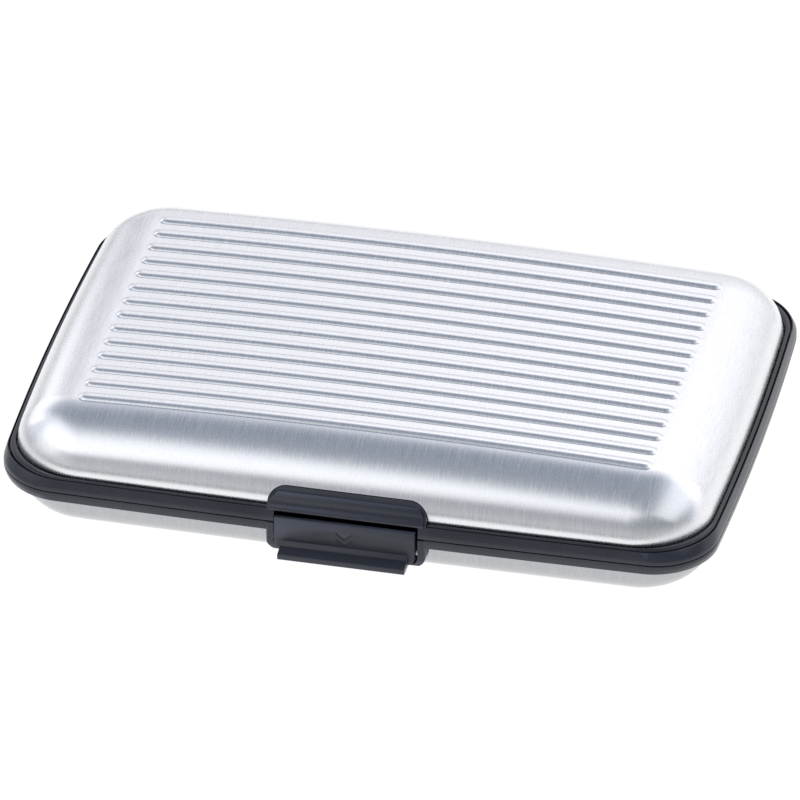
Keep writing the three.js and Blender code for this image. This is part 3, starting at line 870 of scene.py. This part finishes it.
def add_knuckles(obj, half):
    """Adds a half's own knuckles to its frame and bores them for the pins."""
    axis_y = CASE_DEPTH / 2 + HINGE_OFFSET
    for end in (-1, 1):
        spans = knuckle_spans(end)
        own = spans[1:2] if half["side"] > 0 else spans[::2]
        for start, stop in own:
            boolean(obj, knuckle(half, start, stop), "UNION")
        opening = circle(axis_y, PARTING, PIN_BORE)
        bore = prism("bore", opening, "x", spans[0][0] - 1, spans[2][1] + 1)
        boolean(obj, bore, "DIFFERENCE")
    return obj


def lid_frame():
    """The lid's band with its knuckles, and the catch tab in a recess for the flap."""
    obj = add_knuckles(band(UPPER), UPPER)
    recess = box(
        "recess", (-CHEEK_INNER, CHEEK_INNER), (FRONT - 1, FRONT - RECESS_FACE),
        (PARTING - 1, PARTING + UPPER_BAND + 1),
    )
    boolean(obj, recess, "DIFFERENCE")
    boolean(obj, catch_tab(), "UNION")
    return shade(obj, 32)


def base_frame():
    """The base's band with its knuckles, and the latch lug with its pocket and bore."""
    obj = add_knuckles(band(LOWER), LOWER)
    boolean(obj, latch_lug(), "UNION")
    opening = tab_window(CHEEK_INNER, 1, POCKET_BOTTOM, POCKET_CORNER)
    boolean(obj, prism("pocket", opening, "y", FRONT - 8, FRONT - LUG_BACK_WALL), "DIFFERENCE")
    bore = prism(
        "bore", circle(FRONT - LATCH_FORWARD, PARTING + LATCH_UP, PIN_BORE), "x",
        -CHEEK_OUTER + 0.5, CHEEK_OUTER - 0.5,
    )
    boolean(obj, bore, "DIFFERENCE")
    return shade(obj, 32)


# ---- Latch, spring and pins ----


def press_mark():
    """Two plain chevrons that point down, as a cutter."""
    half_width, drop, stroke, depth = 1.9, 1.5, 0.52, 0.16
    cutter = None
    for up in (0.3, -1.3):
        z = PARTING + up
        points = [
            (-half_width, z), (0, z - drop), (half_width, z),
            (half_width, z - stroke), (0, z - drop - stroke), (-half_width, z - stroke),
        ]
        chevron = prism("mark", points, "y", FRONT - 3, FRONT - FLAP_PROUD + depth)
        cutter = chevron if cutter is None else boolean(cutter, chevron, "UNION")
    return cutter


def latch_flap():
    """The press flap: a crowned plate, a thumb lip and the two bosses for its pin."""
    half_width = FLAP_WIDTH / 2
    axis = (FRONT - LATCH_FORWARD, PARTING + LATCH_UP)
    flap = prism("latch_flap", latch_profile(
        [
            (FLAP_BACK, -2.6), (FLAP_BACK, 1.4), (0.12, 1.7), (0.12, FLAP_TOP), (1.1, FLAP_TOP),
            (FLAP_PROUD, 0.6), (FLAP_PROUD, -2.4), (FLAP_PROUD - 0.15, -5.6),
            (0.9, LIP_BOTTOM), (-0.2, LIP_BOTTOM), (LATCH_FORWARD, LATCH_UP - BOSS_RADIUS),
            (LATCH_FORWARD, LATCH_UP + BOSS_RADIUS),
        ],
        [0, 0, 0, 0.1, 0.35, 5, 5, 1.5, 0.6, 0.5, 0, 0],
        6,
    ), "x", -half_width, half_width)
    window = tab_window(half_width, FLAP_TOP + 0.05, LIP_BOTTOM - 0.02, FLAP_CORNER)
    boolean(flap, prism("front", window, "y", FRONT - 9, FRONT + 4), "INTERSECT")
    soften(flap, 0.25, 3, 45)
    lip = prism("lip", latch_profile(
        [
            (0.8, -3.2), (1.5, -3.85), (2.25, -4.55), (LIP_REACH - 0.1, -5.15),
            (LIP_REACH, -5.3), (LIP_REACH, LIP_BOTTOM + 0.25), (LIP_REACH - 0.25, LIP_BOTTOM),
            (1, LIP_BOTTOM),
        ],
        [0, 0.5, 0.7, 0.12, 0.12, 0.15, 0.15, 0],
        5,
    ), "x", -LIP_WIDTH / 2, LIP_WIDTH / 2, 0.22, 3)
    boolean(flap, lip, "UNION")
    boolean(flap, prism("boss", circle(*axis, BOSS_RADIUS), "x", -half_width, half_width, 0.15), "UNION")
    slot = box(
        "slot", (-BOSS_INNER_END, BOSS_INNER_END), (FRONT - FLAP_BACK, FRONT + 6),
        (PARTING + LIP_BOTTOM - 1, PARTING),
    )
    boolean(flap, slot, "DIFFERENCE")
    boolean(flap, prism("bore", circle(*axis, PIN_BORE), "x", -FLAP_WIDTH, FLAP_WIDTH), "DIFFERENCE")
    boolean(flap, press_mark(), "DIFFERENCE")
    return shade(flap, 32)


def pin(name, start, end, y, z):
    """A wire pin with rounded ends."""
    rings = []
    stations = [(0.0, 0.45), (0.08, 0.72), (0.22, 0.92), (0.4, 1.0)]
    ends = [(start + x, r) for x, r in stations] + [(end - x, r) for x, r in stations[::-1]]
    for x, r in ends:
        rings.append([(x, u, v) for u, v in circle(y, z, PIN_RADIUS * r, 32)])
    return shade(loft(name, rings), 50)


def spring(name):
    """A torsion spring: a coil round the pin, with a leg behind the flap and one by the lug's wall."""
    y, z = FRONT - LATCH_FORWARD, PARTING + LATCH_UP
    pitch = SPRING_PITCH
    half = SPRING_TURNS / 2
    path = [(-half * pitch, y - SPRING_COIL, z + 3 - 0.5 * k) for k in range(5)]
    steps = round(SPRING_TURNS * 24)
    for k in range(steps + 1):
        turn = -half + SPRING_TURNS * k / steps
        angle = math.pi + 2 * math.pi * (turn + half)
        across, up = SPRING_COIL * math.cos(angle), SPRING_COIL * math.sin(angle)
        path.append((turn * pitch, y + across, z + up))
    path += [(half * pitch, y + SPRING_COIL + 0.1 * k, z + 0.4 + 0.35 * k) for k in range(4)]
    curve = bpy.data.curves.new(name, "CURVE")
    curve.dimensions = "3D"
    curve.bevel_depth = SPRING_WIRE * MM
    curve.bevel_resolution = 3
    curve.use_fill_caps = True
    spline = curve.splines.new("POLY")
    spline.points.add(len(path) - 1)
    for point, where in zip(spline.points, path):
        point.co = (*(c * MM for c in where), 1)
    wire = bpy.data.objects.new(name + "_wire", curve)
    bpy.context.scene.collection.objects.link(wire)
    graph = bpy.context.evaluated_depsgraph_get()
    mesh = bpy.data.meshes.new_from_object(wire.evaluated_get(graph))
    bpy.data.objects.remove(wire)
    obj = bpy.data.objects.new(name, mesh)
    bpy.context.scene.collection.objects.link(obj)
    return shade(obj, 60)


# ---- Assembly ----

lid_aluminium = brushed_aluminium("lid_aluminium", (0.79, 0.795, 0.82), (0.93, 0.935, 0.955))
# The base's aluminium is the lid's metal painted darker: painted shade that makes the lower cover read
# grey against the white floor.
shaded_base_aluminium = brushed_aluminium("shaded_base_aluminium", (0.43, 0.435, 0.455), (0.52, 0.525, 0.54))
frame_plastic = moulded_plastic("frame_plastic", (0.015, 0.018, 0.029), (0.025, 0.029, 0.044), 0.27)
ring_plastic = moulded_plastic("ring_plastic", (0.012, 0.0145, 0.022), (0.02, 0.0235, 0.034), 0.27)
latch_plastic = moulded_plastic("latch_plastic", (0.017, 0.02, 0.029), (0.027, 0.031, 0.045), 0.36, 0.02)
lining = flock()
knit_foam = knit()
pin_steel = drawn_steel("pin_steel", (0.62, 0.62, 0.63), 0.28)
spring_steel = drawn_steel("spring_steel", (0.45, 0.45, 0.46), 0.32)

for half in (UPPER, LOWER):
    cad, body = half["cad"], half["body"]
    aluminium = lid_aluminium if half["side"] > 0 else shaded_base_aluminium
    place_piece(cover(half), body, "brushed_aluminium", aluminium, cad + "_cover")
    place_piece(retaining_ring(half), body, "ring_plastic", ring_plastic, cad + "_retaining_ring")
    place_piece(tray(half), body, "flock_lining", lining, cad + "_tray")
    pad = place_piece(foam_pad(half), body, "foam", knit_foam, cad + "_foam_pad")

place_piece(lid_frame(), "lid", "frame_plastic", frame_plastic, "upper_frame")
place_piece(base_frame(), "base", "frame_plastic", frame_plastic, "lower_frame")
place_piece(latch_flap(), "latch", "latch_plastic", latch_plastic, "latch_flap")
axis_y, axis_z = FRONT - LATCH_FORWARD, PARTING + LATCH_UP
latch_pin = pin("latch_pivot_pin", -CHEEK_OUTER + 0.8, CHEEK_OUTER - 0.8, axis_y, axis_z)
place_piece(latch_pin, "base", "pin_steel", pin_steel, "latch_pin")
place_piece(spring("torsion_spring"), "base", "spring_steel", spring_steel, "latch_spring")
for end, side_name in ((-1, "left"), (1, "right")):
    spans = knuckle_spans(end)
    hinge_y = CASE_DEPTH / 2 + HINGE_OFFSET
    wire = pin("hinge_wire_" + side_name, spans[0][0], spans[2][1], hinge_y, PARTING)
    place_piece(wire, "base", "pin_steel", pin_steel, "hinge_pin_" + side_name)

# ---- Studio ----


def studio_floor():
    """A plain pale floor that glows white around the case and falls off to grey far out.

    The glow stops under the case, so that the underside isn't lit. Falls are in metres.
    """
    half = 6000
    margin = 0.02
    points = [(-half, -half, 0), (half, -half, 0), (half, half, 0), (-half, half, 0)]
    floor = new_object("studio_floor", points, [(0, 1, 2, 3)])
    m = Nodes("studio_floor", (0.9, 0.9, 0.9), roughness=0.9)
    where = m.add("ShaderNodeTexCoord").outputs["Object"]
    parts = m.add("ShaderNodeSeparateXYZ", {"Vector": where}).outputs
    falls = (
        m.span(parts["Y"], 0.35, 1, -0.2, -0.165),
        m.span(parts["Y"], 1, 0.75, 0.2, 0.35),
        m.span(parts["X"], 0.3, 1, -0.24, -0.14),
    )
    beyond = m.add("ShaderNodeVectorMath", {0: where}, operation="ABSOLUTE").outputs["Vector"]
    core = (CASE_LENGTH / 2 * MM - margin, CASE_DEPTH / 2 * MM - margin, 1)
    for operation, other in (("SUBTRACT", core), ("MAXIMUM", (0, 0, 0))):
        node = m.add("ShaderNodeVectorMath", {0: beyond, 1: other}, operation=operation)
        beyond = node.outputs["Vector"]
    away = m.add("ShaderNodeVectorMath", {0: beyond}, operation="LENGTH").outputs["Value"]
    near = m.span(away, 0, 1, 0.002, 0.007)
    m.link(m.mix(near, (0.8, 0.8, 0.805), (0.12, 0.12, 0.121)), "Base Color")
    glow = m.span(near, 0.05, 0.975)
    for fall in falls:
        glow = m.add("ShaderNodeMath", {0: glow, 1: fall}, operation="MULTIPLY").outputs[0]
    m.link(glow, "Emission Color")
    m.shader.inputs["Specular IOR Level"].default_value = 0.0
    m.shader.inputs["Emission Strength"].default_value = 1.0
    floor.data.materials.append(m.material)


def ramp(tree, value, stops):
    """A colour ramp with stops of (degrees above the front horizon, colour), to 180 at the back."""
    node = tree.nodes.new("ShaderNodeValToRGB")
    tree.links.new(value, node.inputs[0])
    elements = node.color_ramp.elements
    for element, (degrees, colour) in zip(elements, (stops[0], stops[-1])):
        element.position, element.color = degrees / 180, (*colour, 1)
    for degrees, colour in stops[1:-1]:
        elements.new(degrees / 180).color = (*colour, 1)
    return node.outputs["Color"]


def studio_world():
    """A soft studio: bright behind, less so to the left, and grey overhead and in front."""
    world = bpy.data.worlds.new("studio")
    bpy.context.scene.world = world
    world.use_nodes = True
    tree = world.node_tree

    def math_node(operation, *inputs):
        node = tree.nodes.new("ShaderNodeMath")
        node.operation = operation
        for socket, value in zip(node.inputs, inputs):
            if isinstance(value, bpy.types.NodeSocket):
                tree.links.new(value, socket)
            else:
                socket.default_value = value
        return node.outputs[0]

    where = tree.nodes.new("ShaderNodeTexCoord").outputs["Generated"]
    parts = tree.nodes.new("ShaderNodeSeparateXYZ")
    tree.links.new(where, parts.inputs[0])
    forward = math_node("MULTIPLY", parts.outputs["Y"], -1)
    turn = math_node("DIVIDE", math_node("ARCTAN2", parts.outputs["Z"], forward), math.pi)
    above = [(100, (0.25, 0.28, 0.335)), (118, (0.235, 0.27, 0.33)), (130, (0.35, 0.375, 0.44))]
    left = ramp(tree, turn, [
        (0, (0.62, 0.63, 0.65)), (45, (0.52, 0.53, 0.55)), *above, (138, (0.50, 0.52, 0.60)),
        (142, (0.60, 0.61, 0.66)), (156, (0.52, 0.53, 0.58)), (166, (0.56, 0.57, 0.61)),
        (176, (0.78, 0.79, 0.82)), (180, (0.80, 0.81, 0.84)),
    ])
    right = ramp(tree, turn, [
        (0, (0.46, 0.47, 0.49)), (30, (0.26, 0.28, 0.30)), (60, (0.22, 0.24, 0.27)), *above,
        (134, (0.46, 0.48, 0.57)), (138.5, (1.09, 1.09, 1.12)), (156, (0.94, 0.94, 0.97)),
        (169, (0.80, 0.81, 0.84)), (180, (0.74, 0.75, 0.78)),
    ])
    sideways = tree.nodes.new("ShaderNodeMapRange")
    tree.links.new(parts.outputs["X"], sideways.inputs["Value"])
    sideways.inputs["From Min"].default_value = -0.42
    sideways.inputs["From Max"].default_value = -0.12
    mixed = tree.nodes.new("ShaderNodeMixRGB")
    tree.links.new(sideways.outputs["Result"], mixed.inputs[0])
    tree.links.new(left, mixed.inputs[1])
    tree.links.new(right, mixed.inputs[2])
    background = tree.nodes["Background"]
    tree.links.new(mixed.outputs[0], background.inputs["Color"])
    background.inputs["Strength"].default_value = 1.15


def softbox(name, location, target, width, height, power, turn=0.0):
    """An area light that faces a target, turned in its own plane by some degrees."""
    light = bpy.data.lights.new(name, "AREA")
    light.shape = "RECTANGLE"
    light.size, light.size_y = width, height
    light.energy = power
    obj = bpy.data.objects.new(name, light)
    facing = (Vector(target) - Vector(location)).to_track_quat("-Z", "Y")
    spin = Matrix.Rotation(math.radians(turn), 4, "Z")
    obj.matrix_world = Matrix.Translation(location) @ facing.to_matrix().to_4x4() @ spin
    bpy.context.scene.collection.objects.link(obj)


def camera():
    """A long-lens view of the front, from a little to the right and above."""
    azimuth, elevation, roll = (math.radians(a) for a in (13.275, 33.133, -0.369))
    distance, aim_right, aim_up = 3020.5, -0.569, -13.416
    back = Vector((
        math.sin(azimuth) * math.cos(elevation),
        -math.cos(azimuth) * math.cos(elevation),
        math.sin(elevation),
    ))
    right = Vector((math.cos(azimuth), math.sin(azimuth), 0))
    up = back.cross(right)
    rolled_right = math.cos(roll) * right + math.sin(roll) * up
    rolled_up = math.cos(roll) * up - math.sin(roll) * right
    centre = Vector((0, 0, PARTING + 14.715))
    data = bpy.data.cameras.new("camera")
    data.sensor_width = 36
    data.lens = 605.7
    data.clip_end = 100
    obj = bpy.data.objects.new("camera", data)
    place = centre + rolled_right * aim_right + rolled_up * aim_up + back * distance
    rotation = Matrix((rolled_right, rolled_up, back)).transposed()
    obj.matrix_world = Matrix.Translation(place * MM) @ rotation.to_4x4()
    bpy.context.scene.collection.objects.link(obj)
    bpy.context.scene.camera = obj


camera()
studio_floor()
studio_world()
softbox("ceiling_softbox", (-0.608, -0.438, 0.83), (-0.608, -0.438, 0), 1.26, 0.80, 1.58, 135)
softbox("ceiling_scrim", (-0.659, -0.479, 0.84), (-0.659, -0.479, 0), 1.60, 1.10, 1.88, 135)
softbox("right_softbox", (0.70, 0.098, 0.707), (0, 0, 0.02), 1.45, 0.72, 2.55)
softbox("left_softbox", (-0.76, 0.53, 0.33), (0, 0, 0.02), 0.62, 0.44, 0.6)
softbox("left_scrim", (-0.86, -0.15, 0.45), (0, 0, 0.02), 1.2, 0.55, 0.9)
softbox("back_softbox", (0.1, 0.68, 0.74), (0, 0, 0.02), 0.6, 0.3, 0.18)
bpy.context.scene.view_settings.view_transform = "Standard"
